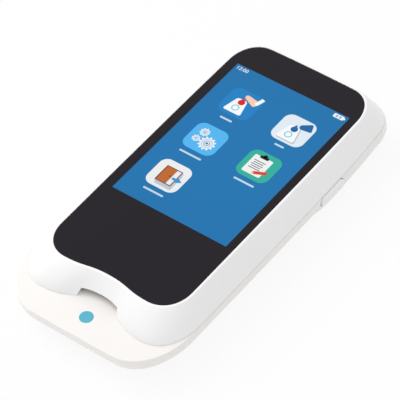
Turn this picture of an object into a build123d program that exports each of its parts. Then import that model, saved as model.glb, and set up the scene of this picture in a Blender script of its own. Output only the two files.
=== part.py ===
from build123d import *
from math import atan2, cos, degrees, pi, sqrt
import os

os.makedirs("parts", exist_ok=True)

# Frame: X to the right, Y from the front tongue to the back end, Z up from the table.
# All values are millimetres. The origin lies under the middle of the body.

# Heights of the housing
RIM_Z = 22.0
PARTING_Z = 13.5
FLOOR_Z = 0.8
WALL = 2.0
FLOOR_THICK = 1.8
SEAM_GAP = 0.1
SHOULDER_SECTION_COUNT = 3
BELLY_SECTION_COUNT = 7

# Display picture, a 3.5 inch panel with sides 2 to 3, which gives the scale of everything.
# It sits a little to the right of the middle.
PICTURE_X = 48.96
PICTURE_Y = 73.44
DISPLAY_X = 0.4
DISPLAY_Y = 16.3

# Cover glass, flush in the upper housing
GLASS_THICK = 1.1
GLASS_SINK = 0.1
GLASS_GAP = 0.1
GLASS_EDGE = 0.2
GLASS_MARGIN_SIDE = 3.6
GLASS_MARGIN_FRONT = 34.5
GLASS_MARGIN_BACK = 12.7
GLASS_TAPER_FRONT = 0.15
GLASS_TAPER_BACK = 0.2
GLASS_WAVE = 2.0
GLASS_LOBE_X = 17.8
GLASS_CORNER_FRONT = 11.4
GLASS_CORNER_BACK = 12.7
GLASS_SAG = 0.2
SHOULDER_X = 18.0
RIM_WIDTH = 0.8
RIM_ROUND = 0.45
ADHESIVE_THICK = 0.2
ADHESIVE_INSET = 0.3

# Shoulder of the upper housing, from the glass out to the foot on the lower one
SHOULDER_SIDE = 6.3
SHOULDER_FRONT = 9.3
SHOULDER_BACK = 6.7
FOOT_TAPER_FRONT = 0.2
FOOT_TAPER_BACK = 1.3
FOOT_WAVE = 4.9
FOOT_LOBE_X = 21.5
FOOT_CORNER_FRONT = 15.2
FOOT_CORNER_BACK = 12.3
FOOT_SAG = 0.5
SIDE_SWELL = 0.3
BACK_SWELL = 0.06
LOBE_SWELL = 0.7
SCOOP_SWELL = 2.2

# Lower housing: a band under the seam, a belly below and the tongue in front
LEDGE = 0.35
LEDGE_ROUND = 0.3
TIP_REACH = 10.3
TIP_FLAT_X = 16.8
TIP_CORNER_Y = 24.0
HIP_BEFORE_BUTTON = 6.6
HIP_LENGTH = 6.0
BELLY_DROP_SIDE = 0.2
BELLY_DROP_HIP = 2.5
BELLY_DROP_TIP = 2.3
BELLY_DROP_BACK = 4.0
BELLY_RUN_SIDE = 13.0
BELLY_RUN_TIP = 14.0
BELLY_RUN_BACK = 12.0
BACK_LEAN = 0.32

# Tongue with the strip slot and the blue mark
TONGUE_UNDER = 2.6
TONGUE_DROP = 1.1
TONGUE_DECK = 2.0
TONGUE_LEVEL = 1.2
SLOT_WIDTH = 17.0
SLOT_HEIGHT = 2.5
SLOT_SLANT = 0.7
MARK_RADIUS = 2.5
MARK_THICK = 0.5
MARK_FROM_TIP = 8.3
MARK_FIT = 0.04

# Display stack
DECK_THICK = 1.4
PANEL_BORDER_SIDE = 1.3
PANEL_BORDER_BACK = 2.0
PANEL_BORDER_FRONT = 5.0
WINDOW_GAP = 0.4
TOUCH_THICK = 0.5
PANEL_THICK = 1.2
BACKLIGHT_THICK = 2.2
BRACKET_PLATE = 1.0
BRACKET_LIP = 0.8
BRACKET_GAP = 0.3
BRACKET_EAR = 6.0
BRACKET_EAR_ROOT = 0.5
BRACKET_EAR_X = 14.0
BRACKET_BOSS_RADIUS = 2.4
BRACKET_SCREW_HEAD = 1.6
BRACKET_SCREW_HEAD_HIGH = 1.2
BRACKET_SCREW_SHANK = 0.8
BRACKET_SCREW_BITE = 2.0

# Screws that close the housing from below
BOSS_RADIUS = 3.25
BOSS_FROM_SIDE = 8.8
BOSS_FROM_FRONT = 26.2
BOSS_FROM_BACK = 12.6
HOUSING_SCREW_SHANK = 1.25
HOUSING_SCREW_HEAD = 2.3
HOUSING_SCREW_HEAD_HIGH = 1.6
HOUSING_SCREW_SEAT = 4.2
HOUSING_SCREW_BITE = 4.5
SCREW_PLAY = 0.2
SCREW_END_GAP = 0.3
THREAD_FIT = 0.02
DRIVE_WIDTH = 0.55
DRIVE_LENGTH = 2.2
DRIVE_DEEP = 0.6

# Battery, its bay and its door
BATTERY_X = 28.0
BATTERY_Y = 48.5
BATTERY_THICK = 4.1
BATTERY_ROUND = 1.2
BATTERY_FRONT_Y = 9.5
BATTERY_PLAY = 0.25
BAY_BESIDE_DOOR = 1.7
BAY_WALL = 1.2
BAY_BACK_ROOM = 2.0
BAY_CEILING = 1.0
DOOR_BESIDE_BATTERY = 1.7
DOOR_TOP_Z = 5.5
DOOR_GAP = 0.3
DOOR_TRAVEL = 5.0
HOOK_X = 9.0
HOOK_WIDTH = 6.0
HOOK_THICK = 1.0
HOOK_ROOT = 1.5
HOOK_REACH = 3.8
CATCH_Y = 44.0
CATCH_LENGTH = 4.0
CATCH_OVER = 1.2
GRIP_COUNT = 4
GRIP_PITCH = 2.4
GRIP_WIDTH = 1.0
GRIP_DEEP = 0.35
GRIP_LENGTH = 14.0
TERMINAL_X = 9.0
TERMINAL_Y = 3.0
TERMINAL_GAP = 0.9
TERMINAL_PLAY = 0.2
BLADE_COUNT = 3
BLADE_PITCH = 2.6
BLADE_WIDTH = 1.2
BLADE_THICK = 0.25
BLADE_ROOT = 1.5
BLADE_FALL = 1.3
BLADE_TIP = 1.7
BLADE_TOUCH = 0.05

# Main board and what stands on it
BOARD_THICK = 1.6
BOARD_LIFT = 0.2
BOARD_FROM_SIDE = 6.8
BOARD_FROM_FRONT = 9.7
BOARD_FROM_BACK = 3.8
BOARD_CORNER_FRONT = 3.0
BOARD_CORNER_BACK = 13.0
BOARD_CLEAR = 0.5
POST_RADIUS = 2.5
POST_FROM_SIDE = 4.5
POST_FROM_END = 5.5
POST_MID_FROM_SIDE = 4.0
POST_MID_Y = 8.0
POST_BACK_FROM_SIDE = 8.1
BOARD_SCREW_SHANK = 1.0
BOARD_SCREW_HEAD = 1.9
BOARD_SCREW_HEAD_HIGH = 1.3
BOARD_SCREW_BITE = 4.2

# Strip path
STRIP_WIDTH = 10.0
STRIP_STEP = 0.2
GUIDE_WALL = 1.2
GUIDE_PLAY = 1.0
GUIDE_FLOOR = 1.4
GUIDE_RISE = 2.2
GUIDE_GAP = 0.3
GUIDE_LENGTH = 12.0
GUIDE_LEAD_IN = 0.7
GUIDE_LEG_INSET = 1.0
HEATER_X = 9.0
HEATER_Y = 7.0
HEATER_THICK = 0.8
HEATER_BACK_SHIFT = 1.2
HEATER_FIT = 0.2
SENSOR_X = 2.4
SENSOR_Y = 1.4
CONNECTOR_GAP = 0.3
CONNECTOR_X = 18.0
CONNECTOR_Y = 8.0
CONNECTOR_RISE = 2.6
CONNECTOR_SLOT = 0.8
CONNECTOR_SLOT_DEEP = 5.6
CONNECTOR_LIP = 1.0
STRIP_PLAY = 0.2
CONTACT_COUNT = 7
CONTACT_PITCH = 1.27
CONTACT_WIDTH = 0.6
CONTACT_THICK = 0.2
CONTACT_PLAY = 0.15
CONTACT_TIP = 0.6
CONTACT_BEND = 1.0
CONTACT_RAMP = 2.4
CONTACT_LIFT = 0.5
CONTACT_TOP = 0.6
CONTACT_TAIL = 0.6

# Power button in the right-hand side
BUTTON_Y = 28.1
BUTTON_LENGTH = 13.5
BUTTON_HEIGHT = 3.4
BUTTON_BELOW_SEAM = 1.8
BUTTON_PROUD = 0.8
BUTTON_PLAY = 0.3
BUTTON_TRAVEL = 0.35
BUTTON_EDGE = 0.35
BUTTON_FLANGE_OVER = 1.2
BUTTON_FLANGE_THICK = 0.8
BUTTON_STEM_RADIUS = 1.0
SWITCH_X = 4.4
SWITCH_Y = 6.0
SWITCH_OVERHANG = 2.2
PLUNGER_RADIUS = 0.8
PLUNGER_FIT = 0.08
PLUNGER_REACH = 0.9
PLUNGER_OUT = 1.2
PLUNGER_END_GAP = 0.3

# Charging socket, beeper, shield can, chips and display flex
SOCKET_X = 8.94
SOCKET_Y = 7.35
SOCKET_Z = 3.26
SOCKET_ROUND = 1.2
SOCKET_SHEET = 0.3
SOCKET_BACK_PLATE = 0.5
SOCKET_TONGUE_X = 6.6
SOCKET_TONGUE_Z = 0.7
SOCKET_TONGUE_Y = 5.0
SOCKET_GAP = 0.35
SOCKET_WALL_GAP = 0.3
BEEPER_RADIUS = 4.5
BEEPER_HIGH = 3.6
BEEPER_X = -15.0
BEEPER_Y = 52.0
BEEPER_HOLE = 0.8
BEEPER_HOLE_DEEP = 0.8
SHIELD_X = 18.0
SHIELD_Y = 14.0
SHIELD_HIGH = 2.4
SHIELD_SHEET = 0.25
SHIELD_CENTRE_Y = -12.0
CHIP_HIGH = 1.0
PROCESSOR_SIDE = 10.0
PROCESSOR_PLACE = (-4.0, 22.0)
MEMORY_SIDE = 7.0
MEMORY_PLACE = (9.0, 24.0)
CHARGER_SIDE = 5.0
CHARGER_PLACE = (16.0, 46.0)
METER_SIDE = 7.0
METER_PLACE = (-3.0, SHIELD_CENTRE_Y)
FLEX_CONNECTOR_X = 22.0
FLEX_CONNECTOR_Y = 4.6
FLEX_CONNECTOR_Z = 1.8
FLEX_CONNECTOR_SHIFT = 1.0
FLEX_WIDTH = 19.0
FLEX_PLAY = 1.0
FLEX_THICK = 0.2
FLEX_REACH = 3.4
FLEX_BEND = 2.0

# Rubber feet
FOOT_RADIUS = 3.2
FOOT_SUNK = 0.6
FOOT_FIT = 0.04
FOOT_FRONT_X = 17.0
FOOT_BACK_X = 19.8
FOOT_FROM_FRONT = 16.2
FOOT_FROM_BACK = 23.3

# Places and heights that follow from the sizes above
GLASS_HALF = PICTURE_X / 2 + GLASS_MARGIN_SIDE
GLASS_FRONT_Y = DISPLAY_Y - PICTURE_Y / 2 - GLASS_MARGIN_FRONT
GLASS_BACK_Y = DISPLAY_Y + PICTURE_Y / 2 + GLASS_MARGIN_BACK
FOOT_HALF = GLASS_HALF + SHOULDER_SIDE
FOOT_FRONT_Y = GLASS_FRONT_Y - SHOULDER_FRONT
FOOT_BACK_Y = GLASS_BACK_Y + SHOULDER_BACK
TIP_Y = FOOT_FRONT_Y - TIP_REACH
HIP_Y = BUTTON_Y - HIP_BEFORE_BUTTON
TONGUE_START_Y = FOOT_FRONT_Y + FOOT_WAVE + TONGUE_UNDER
TONGUE_END_Y = TONGUE_START_Y + TONGUE_LEVEL
TONGUE_TIP_Z = PARTING_Z - TONGUE_DROP
TONGUE_SLOPE = TONGUE_DROP / (TONGUE_START_Y - TIP_Y)
TONGUE_ANGLE = degrees(atan2(TONGUE_DROP, TONGUE_START_Y - TIP_Y))
MARK_Y = TIP_Y + MARK_FROM_TIP
TOUCH_TOP_Z = RIM_Z - GLASS_SINK - GLASS_THICK
DECK_TOP_Z = TOUCH_TOP_Z - ADHESIVE_THICK
DECK_UNDER_Z = DECK_TOP_Z - DECK_THICK
PANEL_TOP_Z = TOUCH_TOP_Z - TOUCH_THICK
BACKLIGHT_TOP_Z = PANEL_TOP_Z - PANEL_THICK
BRACKET_TOP_Z = BACKLIGHT_TOP_Z - BACKLIGHT_THICK
BRACKET_UNDER_Z = BRACKET_TOP_Z - BRACKET_PLATE
PANEL_FRONT_Y = DISPLAY_Y - PICTURE_Y / 2 - PANEL_BORDER_FRONT
PANEL_BACK_Y = DISPLAY_Y + PICTURE_Y / 2 + PANEL_BORDER_BACK
PANEL_X = PICTURE_X + 2 * PANEL_BORDER_SIDE
FLOOR_INNER_Z = FLOOR_Z + FLOOR_THICK
BATTERY_Z = FLOOR_INNER_Z + BATTERY_PLAY
BAY_INNER_Z = BATTERY_Z + BATTERY_THICK + BATTERY_PLAY
BAY_TOP_Z = BAY_INNER_Z + BAY_CEILING
BAY_BACK_Y = BATTERY_FRONT_Y + BATTERY_Y + BAY_BACK_ROOM
DOOR_HALF = BATTERY_X / 2 + DOOR_BESIDE_BATTERY
DOOR_FRONT_Y = BATTERY_FRONT_Y - DOOR_TRAVEL - HOOK_ROOT - 2 * DOOR_GAP
BAY_FRONT_Y = DOOR_FRONT_Y - HOOK_REACH - 2 * DOOR_GAP
BAY_HALF = DOOR_HALF + BAY_BESIDE_DOOR
TERMINAL_FRONT_Y = BAY_FRONT_Y + TERMINAL_GAP
TERMINAL_BACK_Y = TERMINAL_FRONT_Y + TERMINAL_Y
BOARD_Z = BAY_TOP_Z + BOARD_LIFT
BOARD_TOP_Z = BOARD_Z + BOARD_THICK
BOARD_HALF = FOOT_HALF - BOARD_FROM_SIDE
BOARD_FRONT_Y = FOOT_FRONT_Y + BOARD_FROM_FRONT
BOARD_BACK_Y = FOOT_BACK_Y - BOARD_FROM_BACK
STRIP_Z = PARTING_Z - STRIP_STEP
GUIDE_FRONT_Y = TONGUE_END_Y + GUIDE_GAP
GUIDE_BACK_Y = GUIDE_FRONT_Y + GUIDE_LENGTH
CONNECTOR_FRONT_Y = GUIDE_BACK_Y + CONNECTOR_GAP
BUTTON_Z = PARTING_Z - BUTTON_BELOW_SEAM
SWITCH_FACE_X = BOARD_HALF + SWITCH_OVERHANG
SOCKET_BACK_Y = FOOT_BACK_Y - WALL - SOCKET_WALL_GAP
SOCKET_MID_Z = BOARD_TOP_Z + SOCKET_Z / 2
FLEX_CONNECTOR_FRONT_Y = PANEL_FRONT_Y + FLEX_CONNECTOR_SHIFT
SEAT_Z = FLOOR_Z + HOUSING_SCREW_SEAT
FAR = 200.0


def block(x_size, y_from, y_to, z_from, z_to, x_centre=0.0):
    """A box centred on x_centre that runs between the given Y and Z planes."""
    middle = (x_centre, (y_from + y_to) / 2, (z_from + z_to) / 2)
    return Pos(*middle) * Box(x_size, y_to - y_from, z_to - z_from)


def post(x, y, z_from, z_to, radius):
    """An upright cylinder between two heights."""
    return Pos(x, y, (z_from + z_to) / 2) * Cylinder(radius, z_to - z_from)


def both_sides(x, y):
    """The point and its mirror image across the length of the body."""
    return [(x, y), (-x, y)]


def ribbon(points, thickness, width, side, bend=0.0):
    """A flat strip that follows points in the YZ plane, centred on the body's length."""
    path = FilletPolyline(*points, radius=bend) if bend else Polyline(*points)
    section = make_face(offset(path, thickness, side=side))
    return extrude(Plane.YZ * section, amount=width / 2, both=True)


class Plan:
    """A smooth outline seen from above, alike on the left and on the right.

    The front edge is a wave between two lobes, the sides swell a little and may step out at
    the hip, and the corners are soft quarter rounds.
    """

    SOFTNESS = 0.58

    def __init__(self, **sizes):
        self.sizes = sizes
        for name, value in sizes.items():
            setattr(self, name, value)

    def changed(self, **sizes):
        return Plan(**{**self.sizes, **sizes})

    def grown(self, margin):
        """The outline moved outwards by a margin on all sides."""
        return self.changed(
            half_front=self.half_front + margin,
            half_mid=self.half_mid + margin,
            half_hip=self.half_hip + margin,
            half_back=self.half_back + margin,
            front_y=self.front_y - margin,
            back_y=self.back_y + margin,
        )

    def between(self, other, share, swell):
        """Values part of the way to another plan, bowed by a swell for each size."""
        mixed = {}
        for name, start in self.sizes.items():
            bow = swell.get(name, SIDE_SWELL) * share * (1 - share)
            mixed[name] = start + (other.sizes[name] - start) * (share + bow)
        return Plan(**mixed)

    def face(self, z):
        """The outline as a flat face at a height."""
        right, back = Vector(1, 0), Vector(0, 1)
        front_mid = Vector(0, self.front_y + self.wave)
        lobe = Vector(self.lobe_x, self.front_y)
        side_front = Vector(self.half_front, self.side_front_y)
        waist = Vector(self.half_mid, HIP_Y - HIP_LENGTH / 2)
        hip = Vector(self.half_hip, HIP_Y + HIP_LENGTH / 2)
        side_back = Vector(self.half_back, self.side_back_y)
        shoulder = Vector(SHOULDER_X, self.back_y - self.back_sag)
        back_mid = Vector(0, self.back_y)
        lean_front = Vector(2 * (self.half_mid - self.half_front) / (waist.Y - side_front.Y), 1)
        lean_back = Vector(-2 * (self.half_hip - self.half_back) / (side_back.Y - hip.Y), 1)
        along_back = Vector(-1, 2 * self.back_sag / SHOULDER_X)
        soft = self.SOFTNESS

        def bend(start, start_way, end, end_way):
            return Bezier(start, start + start_way, end - end_way, end).edge()

        run, rise = side_front.X - lobe.X, side_front.Y - lobe.Y
        turn_x, turn_y = side_back.X - shoulder.X, shoulder.Y - side_back.Y
        half = [
            bend(front_mid, right * lobe.X / 2, lobe, right * lobe.X / 2),
            bend(lobe, right * run * soft, side_front, lean_front * rise * soft),
            bend(side_front, lean_front * (waist.Y - side_front.Y) / 3, waist,
                 back * (waist.Y - side_front.Y) / 3),
            bend(waist, back * HIP_LENGTH / 2, hip, back * HIP_LENGTH / 2),
            bend(hip, back * (side_back.Y - hip.Y) / 3, side_back,
                 lean_back * (side_back.Y - hip.Y) / 3),
            bend(side_back, lean_back * turn_y * soft, shoulder, along_back * turn_x * soft),
            bend(shoulder, along_back * shoulder.X / 3, back_mid, -right * shoulder.X / 3),
        ]
        other_half = [mirror(edge, Plane.YZ).edge() for edge in reversed(half)]
        return Pos(0, 0, z) * Face(Wire(half + other_half))


GLASS_PLAN = Plan(
    half_front=GLASS_HALF - GLASS_TAPER_FRONT, half_mid=GLASS_HALF, half_hip=GLASS_HALF,
    half_back=GLASS_HALF - GLASS_TAPER_BACK, front_y=GLASS_FRONT_Y, wave=GLASS_WAVE,
    lobe_x=GLASS_LOBE_X, side_front_y=GLASS_FRONT_Y + GLASS_CORNER_FRONT,
    side_back_y=GLASS_BACK_Y - GLASS_CORNER_BACK, back_y=GLASS_BACK_Y, back_sag=GLASS_SAG,
)
RIM_PLAN = GLASS_PLAN.grown(GLASS_GAP + RIM_WIDTH)
FOOT_PLAN = Plan(
    half_front=FOOT_HALF - FOOT_TAPER_FRONT, half_mid=FOOT_HALF, half_hip=FOOT_HALF,
    half_back=FOOT_HALF - FOOT_TAPER_BACK, front_y=FOOT_FRONT_Y, wave=FOOT_WAVE,
    lobe_x=FOOT_LOBE_X, side_front_y=FOOT_FRONT_Y + FOOT_CORNER_FRONT,
    side_back_y=FOOT_BACK_Y - FOOT_CORNER_BACK, back_y=FOOT_BACK_Y, back_sag=FOOT_SAG,
)
BAND_PLAN = FOOT_PLAN.grown(LEDGE).changed(
    front_y=TIP_Y, wave=0.0, lobe_x=TIP_FLAT_X, side_front_y=TIP_Y + TIP_CORNER_Y,
)


def upper_plan(z):
    """Outside of the upper housing at a height, from the rim down to its foot."""
    share = (RIM_Z - z) / (RIM_Z - PARTING_Z)
    swell = {"front_y": LOBE_SWELL, "wave": SCOOP_SWELL, "back_y": BACK_SWELL}
    return RIM_PLAN.between(FOOT_PLAN, share, swell)


def belly_inset(z, drop, run):
    """How far a belly of elliptical section has curved in at a height."""
    start_z = PARTING_Z - drop
    if z >= start_z:
        return 0.0
    depth = min((start_z - z) / (start_z - FLOOR_Z), 1.0)
    return run * (1 - sqrt(1 - depth ** 2))


def lower_plan(z):
    """Outside of the lower housing at a height."""
    side = belly_inset(z, BELLY_DROP_SIDE, BELLY_RUN_SIDE)
    hip = belly_inset(z, BELLY_DROP_HIP, BELLY_RUN_SIDE)
    tip = belly_inset(z, BELLY_DROP_TIP, BELLY_RUN_TIP)
    lean = BACK_LEAN * min(PARTING_Z - z, BELLY_DROP_BACK)
    back = belly_inset(z, BELLY_DROP_BACK, BELLY_RUN_BACK) - lean
    return BAND_PLAN.changed(
        half_front=BAND_PLAN.half_front - side,
        half_mid=BAND_PLAN.half_mid - side,
        half_hip=BAND_PLAN.half_hip - hip,
        half_back=BAND_PLAN.half_back - hip,
        front_y=BAND_PLAN.front_y + tip,
        side_front_y=BAND_PLAN.side_front_y + tip / 2,
        back_y=BAND_PLAN.back_y - back,
        side_back_y=BAND_PLAN.side_back_y - back / 2,
    )


def shoulder_heights(high, sections):
    """Heights from the seam up, evenly spaced."""
    return [PARTING_Z + (high - PARTING_Z) * number / sections for number in range(sections + 1)]


def belly_heights():
    """Heights from the floor up to the seam, evenly spaced round the belly's quarter ellipse."""
    turns = [pi / 2 * number / BELLY_SECTION_COUNT for number in range(BELLY_SECTION_COUNT + 1)]
    return [PARTING_Z - (PARTING_Z - FLOOR_Z) * cos(turn) for turn in turns]


def stacked(plan_at, levels, inset=0.0, lift=0.0):
    """A smooth solid through the plans at the given heights."""
    return loft([plan_at(z).grown(-inset).face(z + lift) for z in levels])


def above_seam(gap=0.0):
    """The space above the seam: level at the sides, falling along the tongue in front."""
    front = TIP_Y - FAR
    low = PARTING_Z + gap - TONGUE_SLOPE * (TONGUE_START_Y - front)
    side = Polyline((front, low), (TONGUE_START_Y, PARTING_Z + gap), (FAR, PARTING_Z + gap),
                    (FAR, FAR), (front, FAR), close=True)
    return extrude(Plane.YZ * make_face(side), amount=FAR, both=True)


def tongue_z(y):
    """Height of the tongue's surface at a place along its length."""
    return PARTING_Z - TONGUE_SLOPE * (TONGUE_START_Y - y)


def display_box(margin, z_from, z_to):
    """The display's outline, widened by a margin, between two heights."""
    return block(PANEL_X + 2 * margin, PANEL_FRONT_Y - margin, PANEL_BACK_Y + margin, z_from, z_to,
                 DISPLAY_X)


BOSS_PLACES = (both_sides(FOOT_PLAN.half_front - BOSS_FROM_SIDE, FOOT_FRONT_Y + BOSS_FROM_FRONT)
               + both_sides(FOOT_PLAN.half_back - BOSS_FROM_SIDE, FOOT_BACK_Y - BOSS_FROM_BACK))
BOARD_POSTS = (both_sides(BOARD_HALF - POST_FROM_SIDE, BOARD_FRONT_Y + POST_FROM_END)
               + both_sides(BOARD_HALF - POST_MID_FROM_SIDE, POST_MID_Y)
               + both_sides(BOARD_HALF - POST_BACK_FROM_SIDE, BOARD_BACK_Y - POST_FROM_END))
FOOT_PLACES = (both_sides(FOOT_FRONT_X, FOOT_FRONT_Y + FOOT_FROM_FRONT)
               + both_sides(FOOT_BACK_X, FOOT_BACK_Y - FOOT_FROM_BACK))
BRACKET_REACH = BRACKET_GAP + BRACKET_LIP
EAR_PLACES = (both_sides(BRACKET_EAR_X, PANEL_FRONT_Y - BRACKET_REACH - BRACKET_EAR / 2)
              + both_sides(BRACKET_EAR_X, PANEL_BACK_Y + BRACKET_REACH + BRACKET_EAR / 2))


def upper_housing():
    """White shell: shoulder and front lobes, glass recess, display window and strip slot."""
    foot_z = TONGUE_TIP_Z - SEAM_GAP
    outside = stacked(upper_plan, [foot_z] + shoulder_heights(RIM_Z, SHOULDER_SECTION_COUNT))
    top = outside.faces().sort_by(Axis.Z)[-1]
    outside = fillet(top.edges(), RIM_ROUND)
    recess = GLASS_PLAN.grown(GLASS_GAP)
    levels = [foot_z] + shoulder_heights(DECK_UNDER_Z, SHOULDER_SECTION_COUNT - 1)
    cavity = stacked(upper_plan, levels, inset=WALL)
    shell = outside - cavity - extrude(recess.face(DECK_TOP_Z), amount=FAR)
    shell -= display_box(WINDOW_GAP, 0, FAR)
    for x, y in BOSS_PLACES:
        shell += post(x, y, PARTING_Z, DECK_UNDER_Z, BOSS_RADIUS)
    for x, y in EAR_PLACES:
        shell += post(x, y, BRACKET_TOP_Z, DECK_UNDER_Z, BRACKET_BOSS_RADIUS)
    shell = shell & above_seam(SEAM_GAP)
    for x, y in BOSS_PLACES:
        shell -= post(x, y, 0, PARTING_Z + HOUSING_SCREW_BITE + SCREW_END_GAP,
                      HOUSING_SCREW_SHANK + THREAD_FIT)
    for x, y in EAR_PLACES:
        shell -= post(x, y, 0, BRACKET_TOP_Z + BRACKET_SCREW_BITE + SCREW_END_GAP,
                      BRACKET_SCREW_SHANK + THREAD_FIT)
    return shell - strip_slot()


def strip_slot():
    """The slot's cutter: level on top, with ends that lean in towards it."""
    low, high = SLOT_WIDTH / 2, SLOT_WIDTH / 2 - SLOT_SLANT
    top = PARTING_Z + SLOT_HEIGHT
    outline = Polyline((-low, PARTING_Z), (low, PARTING_Z), (high, top), (-high, top), close=True)
    below = block(SLOT_WIDTH, TIP_Y, TONGUE_END_Y, 0, PARTING_Z)
    return Pos(0, TIP_Y, 0) * extrude(Plane.XZ * make_face(outline), amount=TIP_Y - TONGUE_END_Y) + below


def housing_outside():
    """The lower housing's outer form up to the seam, before anything is cut from it."""
    whole = stacked(lower_plan, belly_heights()) - above_seam()
    tops = whole.faces().filter_by(lambda face: face.normal_at().Z > 0.9)
    crease = [edge for edge in tops[0].edges() if edge.center() in [e.center() for e in tops[1].edges()]]
    rim = [edge for edge in tops.edges() if edge not in crease]
    return fillet(rim, LEDGE_ROUND)


def housing_inside():
    """The space inside the lower housing's walls, open towards the upper housing."""
    space = stacked(lower_plan, belly_heights(), inset=WALL, lift=FLOOR_THICK)
    return space - above_seam() - tongue_underside()


def tongue_underside():
    """What the tongue's deck takes from the space inside."""
    front = TIP_Y - FAR
    low = PARTING_Z - TONGUE_DECK
    fall = TONGUE_SLOPE * (TONGUE_START_Y - front)
    side = Polyline((front, low - fall), (TONGUE_START_Y, low), (TONGUE_END_Y, low),
                    (TONGUE_END_Y, FAR), (front, FAR), close=True)
    return extrude(Plane.YZ * make_face(side), amount=FAR, both=True)


def button_space(margin, x_from, x_to):
    """A pill across the right-hand wall, as large as the button cap and a margin."""
    pill = SlotOverall(BUTTON_LENGTH + 2 * margin, BUTTON_HEIGHT + 2 * margin)
    plane = Plane(origin=(x_from, BUTTON_Y, BUTTON_Z), x_dir=(0, 1, 0), z_dir=(1, 0, 0))
    return extrude(plane * pill, amount=x_to - x_from)


def lower_housing():
    """Grey-white tray: belly, tongue, battery bay, posts and screw bosses."""
    outside = housing_outside()
    shell = outside - housing_inside()
    bay = block(2 * (BAY_HALF + BAY_WALL), BAY_FRONT_Y - BAY_WALL, BAY_BACK_Y + BAY_WALL, 0, BAY_TOP_Z)
    bay -= block(2 * BAY_HALF, BAY_FRONT_Y, BAY_BACK_Y, 0, BAY_INNER_Z)
    for x, y in BOARD_POSTS:
        bay += post(x, y, 0, BOARD_Z, POST_RADIUS)
    for x, y in BOSS_PLACES:
        bay += post(x, y, 0, PARTING_Z, BOSS_RADIUS)
    shell += bay & outside
    shell -= block(2 * (DOOR_HALF + DOOR_GAP), DOOR_FRONT_Y - DOOR_GAP, FAR, 0, FLOOR_INNER_Z)
    shell -= block(2 * (DOOR_HALF + DOOR_GAP), BAY_BACK_Y + BAY_WALL, FAR, 0, DOOR_TOP_Z + DOOR_GAP)
    for side in (-1, 1):
        shell -= catch_notch(side)
    shell -= block(TERMINAL_X + 2 * TERMINAL_PLAY, TERMINAL_FRONT_Y - TERMINAL_PLAY,
                   TERMINAL_BACK_Y + TERMINAL_PLAY, FLOOR_INNER_Z, BOARD_Z)
    for x, y in BOARD_POSTS:
        shell -= post(x, y, BOARD_Z - BOARD_SCREW_BITE - SCREW_END_GAP, BOARD_Z,
                      BOARD_SCREW_SHANK + THREAD_FIT)
    for x, y in BOSS_PLACES:
        shell -= post(x, y, 0, FAR, HOUSING_SCREW_SHANK + SCREW_PLAY)
        shell -= post(x, y, 0, SEAT_Z, HOUSING_SCREW_HEAD + SCREW_PLAY)
    for x, y in FOOT_PLACES:
        shell -= post(x, y, 0, FLOOR_Z + FOOT_SUNK, FOOT_RADIUS + FOOT_FIT)
    shell -= button_space(BUTTON_PLAY, SWITCH_FACE_X, FAR)
    shell -= flange_space()
    shell -= socket_opening()
    shell -= sample_mark(MARK_FIT)
    return shell


def door_space():
    """The floor and the lower part of the back wall that the battery door takes."""
    space = block(2 * DOOR_HALF, DOOR_FRONT_Y, FAR, 0, FLOOR_INNER_Z)
    return space + block(2 * DOOR_HALF, BAY_BACK_Y + BAY_WALL + DOOR_GAP, FAR, 0, DOOR_TOP_Z)


def catch_notch(side):
    """The notch beside the door through which its catch drops once it has slid back."""
    start = CATCH_Y + DOOR_TRAVEL - DOOR_GAP
    return block(CATCH_OVER + 2 * DOOR_GAP, start, start + CATCH_LENGTH + 2 * DOOR_GAP,
                 0, FLOOR_INNER_Z, side * (DOOR_HALF + CATCH_OVER / 2 + DOOR_GAP))


def battery_door():
    """Sliding door with two hooks in front, a catch on each side and finger grooves."""
    door = (housing_outside() - housing_inside()) & door_space()
    low, high = FLOOR_INNER_Z + DOOR_GAP, FLOOR_INNER_Z + DOOR_GAP + HOOK_THICK
    root_y = DOOR_FRONT_Y + DOOR_GAP
    for x in (-HOOK_X, HOOK_X):
        door += block(HOOK_WIDTH, root_y, root_y + HOOK_ROOT, FLOOR_INNER_Z, high, x)
        door += block(HOOK_WIDTH, DOOR_FRONT_Y - HOOK_REACH, root_y + HOOK_ROOT, low, high, x)
    for side in (-1, 1):
        door += block(CATCH_OVER, CATCH_Y, CATCH_Y + CATCH_LENGTH, FLOOR_INNER_Z, high,
                      side * (DOOR_HALF - CATCH_OVER / 2))
        door += block(2 * CATCH_OVER, CATCH_Y, CATCH_Y + CATCH_LENGTH, low, high, side * DOOR_HALF)
    for number in range(GRIP_COUNT):
        y = CATCH_Y + number * GRIP_PITCH
        door -= block(GRIP_LENGTH, y, y + GRIP_WIDTH, 0, FLOOR_Z + GRIP_DEEP)
    return door


def battery_pack():
    """Flat rechargeable pack that lies on the door."""
    pack = block(BATTERY_X, BATTERY_FRONT_Y, BATTERY_FRONT_Y + BATTERY_Y,
                 BATTERY_Z, BATTERY_Z + BATTERY_THICK)
    return fillet(pack.edges().filter_by(Axis.Y), BATTERY_ROUND)


def battery_terminal():
    """Plastic block under the board that holds the battery's contact blades."""
    low = BATTERY_Z + HOOK_THICK
    return block(TERMINAL_X, TERMINAL_FRONT_Y, TERMINAL_BACK_Y, low, BOARD_Z)


def battery_blades():
    """Sprung contact blades from the terminal to the pack's front end."""
    tip_y = BATTERY_FRONT_Y - BLADE_TOUCH - BLADE_THICK
    low = BATTERY_Z + BATTERY_ROUND
    high = low + BLADE_FALL
    points = [(TERMINAL_BACK_Y, high), (TERMINAL_BACK_Y + BLADE_ROOT, high), (tip_y, low),
              (tip_y, low + BLADE_TIP)]
    blade = ribbon(points, BLADE_THICK, BLADE_WIDTH, Side.RIGHT)
    middle = (BLADE_COUNT - 1) / 2
    return Compound(children=[
        Pos((number - middle) * BLADE_PITCH, 0, 0) * blade for number in range(BLADE_COUNT)])


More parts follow.
